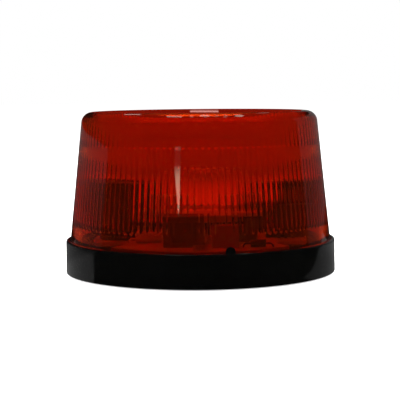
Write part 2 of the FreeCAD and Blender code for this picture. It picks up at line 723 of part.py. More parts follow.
def heat_sink_and_transistor():
    plate_along = "(sink_along - sink_depth / 2 + sink_plate / 2)"
    plate = box("sink_back", "sink_width", "sink_plate", "sink_height", "sink_across", plate_along,
                "board_top")
    fins = []
    for i in range(int(dim("sink_fins"))):
        step = f"{i} * (sink_width - sink_fin) / (sink_fins - 1)"
        across = f"(sink_across - sink_width / 2 + sink_fin / 2 + {step})"
        fins.append(box(f"sink_fin_{i}", "sink_fin", "sink_depth - sink_plate / 2", "sink_height",
                        across, "sink_along + sink_plate / 4", "board_top"))
    face = "(sink_along - sink_depth / 2)"
    screw_up = "(board_top + transistor_lift + transistor_height + transistor_width / 3)"
    hole = rod("sink_hole", "screw_shank_radius + seat_clearance", "sink_plate * 3", "sink_across",
               f"{face} + sink_plate * 1.5", screw_up)
    hole.Placement.Rotation = FreeCAD.Rotation(FreeCAD.Vector(1, 0, 0), 90)
    node(cut("sink", fuse("sink_body", [plate] + fins), hole), "heat_sink")
    tab_tall = "transistor_height + transistor_width * 0.6"
    tab = box("transistor_plate", "transistor_width", "transistor_tab", tab_tall,
              "sink_across", f"{face} - transistor_tab / 2", "board_top + transistor_lift")
    mould = box("transistor_mould", "transistor_width", "transistor_thickness", "transistor_height",
                "sink_across", f"{face} - transistor_thickness / 2", "board_top + transistor_lift")
    legs = [box(f"transistor_leg_{i}", "lead_radius * 2", "lead_radius * 2", "transistor_lift + lead_radius",
                f"(sink_across + ({i - 1}) * transistor_width / 4)", f"{face} - transistor_thickness / 2",
                "board_top") for i in range(3)]
    tab_hole = rod("transistor_hole", "screw_shank_radius + seat_clearance", "sink_plate * 3", "sink_across",
                   f"{face} + sink_plate", screw_up)
    tab_hole.Placement.Rotation = FreeCAD.Rotation(FreeCAD.Vector(1, 0, 0), 90)
    node(cut("transistor", fuse("transistor_body", [tab, mould] + legs), tab_hole), "power_transistor")
    head = rod("sink_screw_head", "screw_head_radius", "screw_head_height", "sink_across",
               f"{face} - transistor_tab", screw_up)
    head.Placement.Rotation = FreeCAD.Rotation(FreeCAD.Vector(1, 0, 0), 90)
    stem = rod("sink_screw_stem", "screw_shank_radius", "transistor_tab + sink_plate", "sink_across",
               f"{face} + sink_plate", screw_up)
    stem.Placement.Rotation = FreeCAD.Rotation(FreeCAD.Vector(1, 0, 0), 90)
    node(fuse("sink_screw", [head, stem]), "heat_sink_screw")


def inverter_transformer():
    outer = box("core_block", "core_width", "core_depth", "core_height", "core_across", "core_along",
                "board_top")
    window = "((core_width - core_limb * 3) / 2)"
    windows = [box(f"core_window_{side}", window, "core_depth * 2", "core_height - core_limb * 1.4",
                   f"(core_across + ({side}) * (core_limb + {window}) / 2)", "core_along",
                   "board_top + core_limb * 0.7") for side in (-1, 1)]
    node(cut("ferrite_core", outer, fuse("core_windows", windows)), "transformer_core")
    low = "board_top + core_limb * 0.7 + seat_clearance"
    tall = "core_height - core_limb * 1.4 - 2 * seat_clearance"
    wide = f"(core_limb + 2 * {window} - 2 * seat_clearance)"
    coil = box("winding_block", wide, "winding_depth", tall, "core_across", "core_along", low)
    hole = box("winding_bore", "core_limb + 2 * seat_clearance", "core_depth + 2 * seat_clearance",
               "core_height * 2", "core_across", "core_along", "board_top - core_height / 2")
    node(cut("winding", coil, hole), "transformer_winding")


def trigger_transformer():
    former = turned("coil_former", [
        ("0", "board_top"),
        ("coil_radius", "board_top"),
        ("coil_radius", "board_top + coil_flange"),
        ("coil_radius / 2", "board_top + coil_flange"),
        ("coil_radius / 2", "board_top + coil_height - coil_flange"),
        ("coil_radius", "board_top + coil_height - coil_flange"),
        ("coil_radius", "board_top + coil_height"),
        ("0", "board_top + coil_height"),
    ])
    node(place(former, "coil_across", "coil_along"), "trigger_coil_former")
    low = "board_top + coil_flange + seat_clearance / 2"
    high = "board_top + coil_height - coil_flange - seat_clearance / 2"
    wound = turned("coil_wound", [
        ("coil_radius / 2 + seat_clearance / 2", low),
        ("coil_radius * 0.9", low),
        ("coil_radius * 0.9", high),
        ("coil_radius / 2 + seat_clearance / 2", high),
    ])
    node(place(wound, "coil_across", "coil_along"), "trigger_coil_winding")


def lying_part(kind, end):
    """Axial resistor or diode: a barrel held by two leads bent down to the board."""
    across = dim(f"{kind}_{end}_across")
    along = dim(f"{kind}_{end}_along")
    radius = dim(f"{kind}_radius")
    half_body = dim(f"{kind}_half_body")
    half_span = dim(f"{kind}_half_span")
    height = dim("board_top") + radius + dim("seat_clearance")
    bend = dim("axial_lead_bend")
    half_run = [FreeCAD.Vector(across - half_span, along, dim("board_top")),
                FreeCAD.Vector(across - half_span, along, height - bend),
                FreeCAD.Vector(across - half_span + bend, along, height)]
    points = half_run + [FreeCAD.Vector(2 * across - point.x, along, point.z) for point in reversed(half_run)]
    lead = faceted_wire(points, dim("axial_lead_radius"), int(dim("wire_sides")))
    barrel = Part.makeCylinder(radius, 2 * half_body, FreeCAD.Vector(across - half_body, along, height),
                               FreeCAD.Vector(1, 0, 0))
    return shaped(f"{kind}_{end}", barrel.fuse(lead))


def terminal_block():
    body = box("block_body", "block_width", "block_depth", "block_height", "block_across", "block_along",
               "board_top")
    openings = []
    screws = []
    for hand, side in (("left", -1), ("right", 1)):
        across = f"(block_across + ({side}) * block_width / 4)"
        openings.append(rod(f"block_well_{hand}", "block_width / 6 + seat_clearance", "block_height", across,
                            "block_along", "board_top + block_height / 2"))
        openings.append(box(f"block_mouth_{hand}", "block_width / 4", "block_depth / 2", "block_height / 4",
                            across, "block_along - block_depth / 2", "board_top + block_height / 6"))
        screws.append(rod(f"block_screw_{hand}", "block_width / 6", "block_height / 3", across, "block_along",
                          "board_top + block_height / 2"))
    node(cut("terminal", body, fuse("block_openings", openings)), "terminal_block")
    node(group("terminal_screw_set", screws), "terminal_screws")


def small_parts():
    node(box("film_box", "film_width", "film_depth", "film_height", "film_across", "film_along", "board_top"),
         "trigger_capacitor")
    node(rod("input_can", "small_can_radius", "small_can_height", "small_can_across", "small_can_along",
             "board_top"), "input_capacitor")
    chip = box("chip_body", "chip_width", "chip_depth", "chip_height", "chip_across", "chip_along",
               "board_top")
    node(chip, "timer_chip")
    resistors = [lying_part("resistor", end) for end in ("front", "back")]
    diodes = [lying_part("diode", end) for end in ("front", "back")]
    node(group("resistor_set", resistors), "resistors")
    node(group("diode_set", diodes), "rectifier_diodes")


base_housing()
mounting_gasket()
cable_grommet()
circuit_board()
lens()
reflector_and_tube()
main_capacitor()
heat_sink_and_transistor()
inverter_transformer()
trigger_transformer()
terminal_block()
small_parts()
doc.recompute()

for item in doc.Objects:
    if "Invalid" in item.State or "Error" in item.State:
        raise RuntimeError(f"{item.Name} failed: {item.State}")
for item in NODES:
    if item.Shape.isNull() or not item.Shape.isValid():
        raise RuntimeError(f"{item.Label} has no valid shape")

os.makedirs("parts", exist_ok=True)
for item in NODES:
    item.Shape.exportStep(f"parts/{item.Label}.step")
    box_at = item.Shape.BoundBox
    print(f"{item.Label}: {len(item.Shape.Solids)} solids, {item.Shape.Volume:.1f} mm3, "
          f"z {box_at.ZMin:.2f} to {box_at.ZMax:.2f}")
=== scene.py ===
"""Looks of a low strobe beacon: red fluted screw lens on a black base cup."""

import json
import math

import bpy
from mathutils import Matrix, Vector

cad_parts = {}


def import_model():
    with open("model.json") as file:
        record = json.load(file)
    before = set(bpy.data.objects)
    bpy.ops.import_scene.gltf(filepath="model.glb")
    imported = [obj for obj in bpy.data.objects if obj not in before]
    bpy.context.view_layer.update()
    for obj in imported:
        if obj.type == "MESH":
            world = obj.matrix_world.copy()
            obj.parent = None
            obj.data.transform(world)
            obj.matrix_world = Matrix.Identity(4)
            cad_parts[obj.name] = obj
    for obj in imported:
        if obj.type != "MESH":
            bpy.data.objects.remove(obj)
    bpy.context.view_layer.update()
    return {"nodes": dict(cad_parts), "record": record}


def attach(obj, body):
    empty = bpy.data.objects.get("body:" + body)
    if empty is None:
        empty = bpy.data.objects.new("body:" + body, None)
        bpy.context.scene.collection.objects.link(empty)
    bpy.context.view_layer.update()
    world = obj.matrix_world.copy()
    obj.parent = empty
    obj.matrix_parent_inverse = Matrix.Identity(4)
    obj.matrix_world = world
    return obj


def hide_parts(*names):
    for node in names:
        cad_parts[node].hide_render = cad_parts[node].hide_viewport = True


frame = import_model()

MM = 0.001

# Base cup, in millimetres and degrees as all shapes below
RIM_TOP = 12.1
RIM_RADIUS = 48.9
RIM_BORE = 47.6
RIM_ROUNDING = 0.5
RIM_BORE_ROUNDING = 0.15
FOOT_RADIUS = 49.0
FOOT_UP = 0.4
FOOT_ROUNDING = 0.3
RECESS_RADIUS = 45.6
FLOOR_LOW = 2.0
FLOOR_TOP = 4.4
CABLE_HOLE = 5.0
CUP_CORNERS = 288
MOUNT_CIRCLE = 38.0
MOUNT_HOLE = 2.65
MOUNT_ANGLES = (90, 210, 330)
MOUNT_CUTTER_TOP = 6.0
SCREW_CIRCLE = 35.0
SCREW_ANGLES = (30, 150, 270)
BOSS_RADIUS = 3.2
BOSS_SUNK = 0.2
BOARD_LOW = 10.0
TAB_ANGLE = 282.0
TAB_WIDTH = 3.3
TAB_HEIGHT = 2.3
TAB_FACES = (47.7, 48.4)
TAB_SUNK = 0.5
TAB_EDGE = 0.12

# Lens
LENS_LOW = 4.6
LENS_TOP = 58.5
LENS_CROWN = 0.2
LENS_FOOT_RADIUS = 47.3
LENS_TOP_RADIUS = 42.3
LENS_CORNER = 4.0
SHOULDER = 12.0
OUTER_HEIGHTS = (50, 44, 38, 32, 26, 20, 15)
ROOF_SHARES = (0.05, 0.35, 0.65, 0.85)
SKIRT_RADIUS = 46.2
SKIRT_BORE = 44.0
GROOVE_RADIUS = 45.7
GROOVE = (9.7, 11.4)
BORE_BREAK = 12.6
BORE_TOP = 57.1
BORE_TOP_RADIUS = 39.8
BORE_CORNER = 2.0
BORE_MARGIN = 0.1
BORE_ROOF_SHARES = (0.7, 0.35, 0.05)

# Each band of flutes: foot, end, depth as a share, run-out at the foot and at the end, and how
# round the run-outs are (1 straight, 2 a quarter circle)
FLUTE_COUNT = 120
FLUTE_CORNERS = 8
FLUTE_DEPTH = 0.24
FLUTE_BANDS = ((17.6, 42.0, 1.0, 2.6, 6.0, 2.0), (46.1, 56.0, 0.6, 1.1, 8.7, 1.0))
FLUTE_GAP = 0.6
RUN_OUT_SHARES = (0, 0.08, 0.2, 0.35, 0.55, 0.8, 1.1)

# Thread
THREAD_LEAD = 18.0
LUG_HEIGHT = 1.4
LUG_REACH = 1.1
LUG_SUNK = 0.3
LUG_STEPS = 24
LUG_STARTS = (0, 120, 240)
LENS_LUG_LOW = 4.75
LENS_LUG_SPAN = 30.0
BASE_LUG_LOW = 6.2
BASE_LUG_SPAN = 36.0

# What the lens sees through itself, in metres or as a direction: a ramp runs between two places
# from one level to another. The sky is read by direction, the floor by place.
SKY_BACK = (-0.2, 0.7, 0.06, 0.56)
SKY_MIDDLE = (0.05, 0.3, 0.28, 0.0)
SKY_SIDES = (0.45, 0.85, 0.0, 0.35)
FLOOR_MIDDLE = 0.001
FLOOR_ALONG = ((-0.12, 0.0, 0.06, 0.62), (0.08, 0.2, 0.0, -0.26), (0.3, 1.1, 0.0, 0.2))
FLOOR_SIDES = (0.05, 0.3, 0.2, 0.0)
PATCH_START = (0.06, 0.18, 0.0, 1.12)
PATCH_END = (0.28, 0.43, 1.0, 0.0)
PATCH_SIDES = (0.015, 0.08, 1.0, 0.0)

# Strengths for plain light, for the gloss and for the camera
SKY_PLAIN, SKY_GLOSS, SKY_CAMERA = 0.55, 0.005, 1.0
FLOOR_PLAIN, FLOOR_GLOSS = 0.6, 0.006
FLOOR_SIZE = 8
PAPER = (0.85, 0.85, 0.85)

# Name, width and height in metres, place, power, and whether the lens sees it through itself
SOFTBOXES = (
    ("left_box", (0.5, 0.9), (-0.75, -0.15, 0.35), 6.0, False),
    ("right_box", (0.5, 0.9), (0.75, -0.15, 0.35), 6.0, False),
    ("top_box", (0.6, 0.6), (0, 0.0, 0.9), 14.0, True),
)
SOFTBOX_AIM = (0, 0, 0.03)

# Lit cards that only the gloss sees: name, strength, colour, fades (axis, start, end, first and
# last factor) and corners
CARDS = (
    ("left_card", 0.045, (1, 1, 1), ((2, 22, 50, 1.0, 2.1), (1, 100, 700, 1.0, 1.3)),
     ((-180, -17, -5), (-100, 900, -5), (-180, -17, 60), (-100, 900, 48))),
    ("right_card", 0.045, (1, 1, 1), ((2, 20, 65, 1.0, 1.7), (1, 80, 500, 1.0, 1.8)),
     ((300, 60, -5), (110, 900, -5), (300, 60, 200), (110, 900, 200))),
    ("left_floor_card", 0.2, (1, 1, 1), ((1, 0, 30, 1.0, 0.6),),
     ((-168, -6, 0.4), (-36.5, -32.5, 0.4), (-300, 250, 0.4), (-36.5, 60, 0.4))),
    ("right_floor_card", 0.125, (1, 1, 1), ((1, 0, 80, 1.0, 1.5),),
     ((40, -34, 0.4), (168, 40, 0.4), (40, 60, 0.4), (300, 250, 0.4))),
    ("strip_card", 4.8, (1, 0.78, 0.54), ((2, 105, 114, 1.0, 0.25),),
     ((-166, -505, 80), (-157.7, -505, 80), (-206.7, -505, 114.6), (-153, -505, 112.8))),
    ("strip_haze", 0.13, (1, 0.85, 0.72), (),
     ((-206.7, -505, 114.6), (-149.6, -505, 112.8), (-203.1, -505, 126.2), (-150.6, -505, 124.4))),
    ("strip_spot", 0.75, (1, 0.85, 0.72), (),
     ((-203.1, -505, 126.4), (-149.8, -505, 124.5), (-203.5, -505, 129.0), (-150, -505, 127))),
    ("roof_streak", 0.80, (1, 0.40, 0.36), (),
     ((-9, 800, 77), (19, 800, 79), (-9, 800, 87), (19, 800, 89))),
    ("roof_glow", 0.27, (1, 0.20, 0.17), (),
     ((-7, 800, 62), (19, 800, 65), (-7, 800, 76), (19, 800, 78))),
)
BACK_CARD = ("back_card", 0.20, (1, 0.03, 0.01), (),
             ((-900, 900, -60), (900, 900, -60), (-900, 900, 110), (900, 900, 110)))

# Strength and corners of the cards, all at one height, that glint in the roof's edge
SPARK_UP = 1000
SPARK_COLOUR = (1, 0.9, 0.8)
EDGE_SPARKS = (
    (1.0, ((-332, 1973), (-240, 1902), (-417, 1065), (-306, 899))),
    (2.2, ((-214, 342), (-115, 275), (-285, 5), (-153, -61))),
    (0.8, ((-57, 369), (-35, 357), (-86, -128), (-54, -138))),
    (2.6, ((4, 561), (54, 527), (6, 45), (79, 30))),
    (0.9, ((92, 469), (107, 462), (140, -64), (164, -64))),
    (0.9, ((135, 526), (154, 519), (242, -187), (276, -185))),
    (2.6, ((216, 469), (275, 467), (327, -30), (415, -9))),
    (0.3, ((260, 2700), (300, 2700), (254, 1247), (327, 1169))),
)

# Camera, fitted to the photo's outline: lengths in metres, focal length in millimetres
CAMERA_PLACE = (0, -0.4683, 0.0681)
CAMERA_PITCH = 5.158
CAMERA_ROLL = 0.526
CAMERA_FOCAL = 115.84
CAMERA_SENSOR = 36
CAMERA_NEAREST = 0.01


# Modelling


def deselect():
    bpy.ops.object.select_all(action="DESELECT")


def done(piece, name=None, angle=30):
    """Back to object mode, place in the mesh, smooth but for sharp edges."""
    if bpy.context.mode != "OBJECT":
        bpy.ops.object.mode_set(mode="OBJECT")
    bpy.ops.object.transform_apply(location=True, rotation=True, scale=True)
    bpy.ops.object.shade_smooth_by_angle(angle=math.radians(angle))
    if name:
        piece.name = name
        piece.data.name = name
    return piece


def turned(name, rings, corners, closed=False, angle=30):
    """A circle extruded from ring to ring, each a radius and a height, about the upright axis."""
    deselect()
    radius, height = rings[0]
    bpy.ops.mesh.primitive_circle_add(vertices=corners, radius=radius * MM, fill_type="NOTHING")
    piece = bpy.context.object
    bpy.ops.object.mode_set(mode="EDIT")
    bpy.ops.transform.translate(value=(0, 0, height * MM))
    for (last_radius, last_height), (radius, height) in zip(rings, rings[1:]):
        bpy.ops.mesh.extrude_region_move(
            TRANSFORM_OT_translate={"value": (0, 0, (height - last_height) * MM)})
        ratio = radius / last_radius
        bpy.ops.transform.resize(value=(ratio, ratio, 1), center_override=(0, 0, height * MM))
    bpy.ops.mesh.select_all(action="SELECT")
    if closed:
        bpy.ops.mesh.remove_doubles(threshold=0.01 * MM)
    else:
        bpy.ops.mesh.fill_holes(sides=0)
    bpy.ops.mesh.select_all(action="SELECT")
    bpy.ops.mesh.normals_make_consistent(inside=False)
    return done(piece, name, angle)


def arc(middle, size, start, end, steps):
    """Points of an arc in the half section, angles in degrees from straight out."""
    points = []
    for i in range(steps + 1):
        turn = math.radians(start + (end - start) * i / steps)
        points.append((middle[0] + size * math.cos(turn), middle[1] + size * math.sin(turn)))
    return points


def around(circle, angle):
    """Place at an angle on a circle about the upright axis."""
    return circle * math.cos(math.radians(angle)), circle * math.sin(math.radians(angle))


def block(name, size, middle):
    """A block of a size about a middle."""
    deselect()
    bpy.ops.mesh.primitive_cube_add(size=1, location=[c * MM for c in middle],
                                    scale=[s * MM for s in size])
    return done(bpy.context.object, name)


def barrel(name, radius, low, high, across, along):
    """An upright cylinder between two heights."""
    deselect()
    bpy.ops.mesh.primitive_cylinder_add(
        vertices=48, radius=radius * MM, depth=(high - low) * MM,
        location=(across * MM, along * MM, (low + high) / 2 * MM))
    return done(bpy.context.object, name)


def joined(name, pieces):
    """Several pieces as one object."""
    deselect()
    for piece in pieces:
        piece.select_set(True)
    bpy.context.view_layer.objects.active = pieces[0]
    bpy.ops.object.join()
    return done(pieces[0], name)


def combine(piece, tool, operation):
    """Boolean with another piece, which is used up."""
    deselect()
    piece.select_set(True)
    bpy.context.view_layer.objects.active = piece
    step = piece.modifiers.new(operation.lower(), "BOOLEAN")
    step.object = tool
    step.operation = operation
    step.solver = "EXACT"
    bpy.ops.object.modifier_apply(modifier=step.name)
    bpy.data.objects.remove(tool)
    return piece


def put_on(piece, body, slot, node):
    """The piece takes its slot's finish and a node's place, and rides on a body."""
    piece.data.materials.clear()
    piece.data.materials.append(MATERIALS[slot])
    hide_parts(node)
    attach(piece, body)


# Materials


class Finish:
    """A Principled material with grain in its colour, roughness and relief."""

    def __init__(self, name):
        self.material = bpy.data.materials.new(name)
        self.material.use_nodes = True
        self.tree = self.material.node_tree
        self.shader = self.tree.nodes["Principled BSDF"]
        self.place = self.tree.nodes.new("ShaderNodeTexCoord").outputs["Object"]

    def noise(self, grains_per_mm, detail=3.0):
        made = self.tree.nodes.new("ShaderNodeTexNoise")
        made.inputs["Scale"].default_value = grains_per_mm / MM
        made.inputs["Detail"].default_value = detail
        self.tree.links.new(self.place, made.inputs["Vector"])
        return made.outputs["Fac"]

    def between(self, value, low, high):
        """The middle of a noise's range, spread from low to high."""
        made = self.tree.nodes.new("ShaderNodeMapRange")
        made.inputs["From Min"].default_value = 0.3
        made.inputs["From Max"].default_value = 0.7
        made.inputs["To Min"].default_value = low
        made.inputs["To Max"].default_value = high
        self.tree.links.new(value, made.inputs["Value"])
        return made.outputs["Result"]

    def colours(self, value, first, second):
        made = self.tree.nodes.new("ShaderNodeMix")
        made.data_type = "RGBA"
        made.inputs[6].default_value = (*first, 1)
        made.inputs[7].default_value = (*second, 1)
        self.tree.links.new(self.between(value, 0, 1), made.inputs[0])
        self.tree.links.new(made.outputs[2], self.shader.inputs["Base Color"])

    def rough(self, value, low, high):
        self.tree.links.new(self.between(value, low, high), self.shader.inputs["Roughness"])

    def relief(self, value, height_mm):
        made = self.tree.nodes.new("ShaderNodeBump")
        made.inputs["Strength"].default_value = 1.0
        made.inputs["Distance"].default_value = height_mm * MM
        self.tree.links.new(value, made.inputs["Height"])
        self.tree.links.new(made.outputs["Normal"], self.shader.inputs["Normal"])

    def absorb(self, colour, density):
        """Deeper colour where light runs further through the piece; density per metre."""
        made = self.tree.nodes.new("ShaderNodeVolumeAbsorption")
        made.inputs["Color"].default_value = (*colour, 1)
        made.inputs["Density"].default_value = density
        self.tree.links.new(made.outputs[0], self.tree.nodes["Material Output"].inputs["Volume"])

    def set(self, **values):
        for key, value in values.items():
            self.shader.inputs[key.replace("_", " ")].default_value = value


def simple_finish(name, first, second, roughness, grain=1.0, relief=0.01, **values):
    """Two near colours, a roughness range and a fine relief."""
    finish = Finish(name)
    noise = finish.noise(grain)
    finish.colours(noise, first, second)
    finish.rough(finish.noise(grain * 3), *roughness)
    finish.relief(finish.noise(grain * 6), relief)
    finish.set(**values)
    return finish.material


def red_polycarbonate():
    finish = Finish("red_polycarbonate")
    finish.colours(finish.noise(0.02), (0.66, 0.070, 0.006), (0.67, 0.075, 0.007))
    finish.rough(finish.noise(0.05), 0.02, 0.05)
    finish.relief(finish.noise(0.06, 1.0), 0.004)
    finish.set(Transmission_Weight=0.985, IOR=1.58)
    finish.absorb((0.79, 0.30, 0.0), 190)
    return finish.material


def tube_glass():
    finish = Finish("tube_glass")
    finish.colours(finish.noise(0.1), (0.97, 0.97, 0.97), (0.99, 0.99, 0.99))
    finish.rough(finish.noise(0.2), 0.01, 0.03)
    finish.set(Transmission_Weight=1.0, IOR=1.46)
    return finish.material


MATERIALS = {
    "black_plastic": simple_finish(
        "black_abs", (0.0006, 0.0006, 0.0005), (0.0010, 0.0010, 0.0009), (0.10, 0.16), 0.25,
        0.0012),
    "red_lens": red_polycarbonate(),
    "black_rubber": simple_finish(
        "black_rubber", (0.012, 0.012, 0.012), (0.02, 0.02, 0.02), (0.55, 0.75), 1.5, 0.02),
    "board_laminate": simple_finish(
        "tan_laminate", (0.62, 0.42, 0.20), (0.55, 0.36, 0.17), (0.4, 0.55), 0.8),
    "bright_steel": simple_finish(
        "bright_steel", (0.55, 0.55, 0.53), (0.66, 0.66, 0.64), (0.22, 0.38), 2.0, 0.005,
        Metallic=1.0),
    "reflector_metal": simple_finish(
        "bright_reflector", (0.88, 0.88, 0.88), (0.92, 0.92, 0.92), (0.32, 0.42), 0.5, 0.003,
        Metallic=1.0),
    "natural_plastic": simple_finish(
        "natural_nylon", (0.72, 0.70, 0.62), (0.66, 0.64, 0.56), (0.4, 0.5)),
    "silicone": simple_finish(
        "milky_silicone", (0.62, 0.61, 0.58), (0.70, 0.69, 0.66), (0.5, 0.6)),
    "capacitor_sleeve": simple_finish(
        "capacitor_sleeve", (0.012, 0.012, 0.018), (0.018, 0.018, 0.026), (0.22, 0.3)),
    "black_aluminium": simple_finish(
        "black_anodised", (0.015, 0.015, 0.016), (0.03, 0.03, 0.032), (0.35, 0.5), 2.0,
        Metallic=0.6),
    "moulding_compound": simple_finish(
        "moulding_compound", (0.014, 0.014, 0.015), (0.022, 0.022, 0.023), (0.45, 0.6)),
    # Mid grey, paler than a ferrite core: painted light on the upper part of the transformer
    "ferrite": simple_finish(
        "ferrite", (0.17, 0.155, 0.155), (0.21, 0.19, 0.19), (0.5, 0.65), 2.0),
    # Dark amber, darker than the tape: painted shade on the lower part of the transformer
    "winding_tape": simple_finish(
        "winding_tape", (0.09, 0.06, 0.015), (0.12, 0.08, 0.02), (0.3, 0.4)),
    "copper_winding": simple_finish(
        "enamelled_copper", (0.05, 0.02, 0.01), (0.07, 0.028, 0.014), (0.25, 0.4)),
    "block_plastic": simple_finish(
        "block_plastic", (0.03, 0.09, 0.25), (0.035, 0.1, 0.28), (0.35, 0.45)),
    "film_red": simple_finish(
        "dipped_epoxy", (0.42, 0.09, 0.03), (0.48, 0.11, 0.04), (0.2, 0.3)),
    "resistor_body": simple_finish(
        "lacquered_body", (0.55, 0.42, 0.24), (0.6, 0.46, 0.27), (0.3, 0.45)),
    "tube_glass": tube_glass(),
}


def finish_frame_nodes():
    """Every node that shows as it is gets the finish of its slot."""
    for part in frame["record"]["subparts"]:
        piece = frame["nodes"][part["node"]]
        piece.data.materials.clear()
        piece.data.materials.append(MATERIALS[part["material_slot"]])


# Lens


def lens_outer_radius(height):
    lean = (LENS_FOOT_RADIUS - LENS_TOP_RADIUS) / (LENS_TOP - SHOULDER)
    return LENS_TOP_RADIUS + lean * (LENS_TOP - height)


def bore_radius(height):
    lean = (BORE_TOP_RADIUS - SKIRT_BORE) / (BORE_TOP - BORE_BREAK)
    return SKIRT_BORE + lean * (height - BORE_BREAK)


def bore_heights():
    """Heights of the bore's rings below its rounded corner, close together at the run-outs."""
    heights = []
    for low, high, _, foot, tip, _ in FLUTE_BANDS:
        heights += [low - FLUTE_GAP, (low + high) / 2]
        heights += [low + foot * share for share in RUN_OUT_SHARES]
        heights += [high - tip * share for share in RUN_OUT_SHARES]
    return sorted(height for height in heights if height < BORE_TOP - BORE_CORNER)


def lens_rings():
    """From the middle of the roof down the outside, round the skirt and up the inside."""
    lean = (LENS_FOOT_RADIUS - LENS_TOP_RADIUS) / (LENS_TOP - SHOULDER)
    draft = math.degrees(math.atan(lean))
    corner_height = LENS_TOP - LENS_CROWN - LENS_CORNER
    corner_middle = lens_outer_radius(corner_height) - LENS_CORNER / math.cos(math.radians(draft))
    rings = [(corner_middle * share, LENS_TOP - LENS_CROWN * share ** 2) for share in ROOF_SHARES]
    rings += arc((corner_middle, corner_height), LENS_CORNER, 90, draft, 12)
    rings += [(lens_outer_radius(height), height) for height in OUTER_HEIGHTS]
    rings += [(LENS_FOOT_RADIUS, SHOULDER), (SKIRT_RADIUS, SHOULDER), (SKIRT_RADIUS, GROOVE[1]),
              (GROOVE_RADIUS, GROOVE[1]), (GROOVE_RADIUS, GROOVE[0]), (SKIRT_RADIUS, GROOVE[0]),
              (SKIRT_RADIUS, LENS_LOW), (SKIRT_BORE, LENS_LOW), (SKIRT_BORE, BORE_BREAK)]
    rings += [(bore_radius(height), height) for height in bore_heights()]
    inner_middle = bore_radius(BORE_TOP - BORE_CORNER) - BORE_CORNER
    rings += arc((inner_middle, BORE_TOP - BORE_CORNER), BORE_CORNER, 0, 90, 6)
    rings += [(inner_middle * share, BORE_TOP) for share in BORE_ROOF_SHARES]
    return rings


def flute_cut(height, phase):
    """Depth of a round-nosed cut at a height, across one flute from 0 to 1."""
    for low, high, strength, foot, tip, power in FLUTE_BANDS:
        if low < height < high:
            deep = FLUTE_DEPTH * strength
            across = deep * (1 - (2 * phase - 1) ** 2)
            end = min((height - low) / foot, (high - height) / tip)
            lift = deep * (1 - (1 - (1 - end) ** power) ** (1 / power)) if end < 1 else 0
            return max(0.0, across - lift)
    return 0.0


def cut_flutes(piece):
    """Moves the points of the bore's wall outwards, flute by flute."""
    for vertex in piece.data.vertices:
        radius = math.hypot(vertex.co.x, vertex.co.y) / MM
        height = vertex.co.z / MM
        inside = (BORE_BREAK < height < BORE_TOP - BORE_MARGIN
                  and radius < bore_radius(height) + BORE_MARGIN)
        if inside and radius > 0.8 * BORE_TOP_RADIUS:
            turn = math.degrees(math.atan2(vertex.co.y, vertex.co.x)) % 360
            phase = (turn * FLUTE_COUNT / 360) % 1
            deeper = 1 + flute_cut(height, phase) / radius
            vertex.co.x *= deeper
            vertex.co.y *= deeper


def thread_lugs(name, inner, outer, low_end, span):
    """Lugs of the thread: an upright rectangle spun round the axis, then lifted along the lead."""
    lugs = []
    middle = ((inner + outer) / 2 * MM, 0, (low_end + LUG_HEIGHT / 2) * MM)
    for start in LUG_STARTS:
        deselect()
        bpy.ops.mesh.primitive_plane_add(size=1, location=middle, rotation=(math.pi / 2, 0, 0))
        lug = bpy.context.object
        bpy.ops.object.mode_set(mode="EDIT")
        bpy.ops.transform.resize(value=((outer - inner) * MM, 1, LUG_HEIGHT * MM),
                                 center_override=middle)
        bpy.ops.mesh.spin(steps=LUG_STEPS, angle=math.radians(span), center=(0, 0, 0),
                          axis=(0, 0, 1))
        bpy.ops.mesh.select_all(action="SELECT")
        bpy.ops.mesh.normals_make_consistent(inside=False)
        bpy.ops.object.mode_set(mode="OBJECT")
        bpy.ops.object.transform_apply(location=True, rotation=True, scale=True)
        turns = [math.degrees(math.atan2(v.co.y, v.co.x)) for v in lug.data.vertices]
        first = min(turns)
        for vertex, turn in zip(lug.data.vertices, turns):
            vertex.co.z += THREAD_LEAD * (turn - first) / 360 * MM
        lug.rotation_euler.z = math.radians(start - span / 2 - first)
        lugs.append(done(lug))
    return joined(name, lugs)


def lens():
    shell = turned("lens_shell", lens_rings(), FLUTE_COUNT * FLUTE_CORNERS, angle=40)
    cut_flutes(shell)
    lugs = thread_lugs("lens_lugs", SKIRT_RADIUS - LUG_SUNK, SKIRT_RADIUS + LUG_REACH,
                       LENS_LUG_LOW, LENS_LUG_SPAN)
    put_on(shell, "lens", "red_lens", "lens")
    put_on(lugs, "lens", "red_lens", "lens")


# Base


def base_cup():
    rings = [(CABLE_HOLE, FLOOR_LOW), (RECESS_RADIUS, FLOOR_LOW), (RECESS_RADIUS, FOOT_UP)]
    rings += arc((FOOT_RADIUS - FOOT_ROUNDING, FOOT_UP + FOOT_ROUNDING), FOOT_ROUNDING, -90, 0, 3)
    rings += arc((RIM_RADIUS - RIM_ROUNDING, RIM_TOP - RIM_ROUNDING), RIM_ROUNDING, 0, 90, 6)
    rings += arc((RIM_BORE + RIM_BORE_ROUNDING, RIM_TOP - RIM_BORE_ROUNDING),
                 RIM_BORE_ROUNDING, 90, 180, 2)
    rings += [(RIM_BORE, FLOOR_TOP), (CABLE_HOLE, FLOOR_TOP), (CABLE_HOLE, FLOOR_LOW)]
    cup = turned("base_cup", rings, CUP_CORNERS, closed=True)
    for angle in MOUNT_ANGLES:
        place = around(MOUNT_CIRCLE, angle)
        combine(cup, barrel("mount_hole", MOUNT_HOLE, 0, MOUNT_CUTTER_TOP, *place), "DIFFERENCE")
    for angle in SCREW_ANGLES:
        place = around(SCREW_CIRCLE, angle)
        combine(cup, barrel("boss", BOSS_RADIUS, FLOOR_TOP - BOSS_SUNK, BOARD_LOW, *place), "UNION")
    done(cup)
    put_on(cup, "base", "black_plastic", "base_housing")
    lugs = thread_lugs("base_lugs", RIM_BORE - LUG_REACH, RIM_BORE + LUG_SUNK,
                       BASE_LUG_LOW, BASE_LUG_SPAN)
    put_on(lugs, "base", "black_plastic", "base_housing")


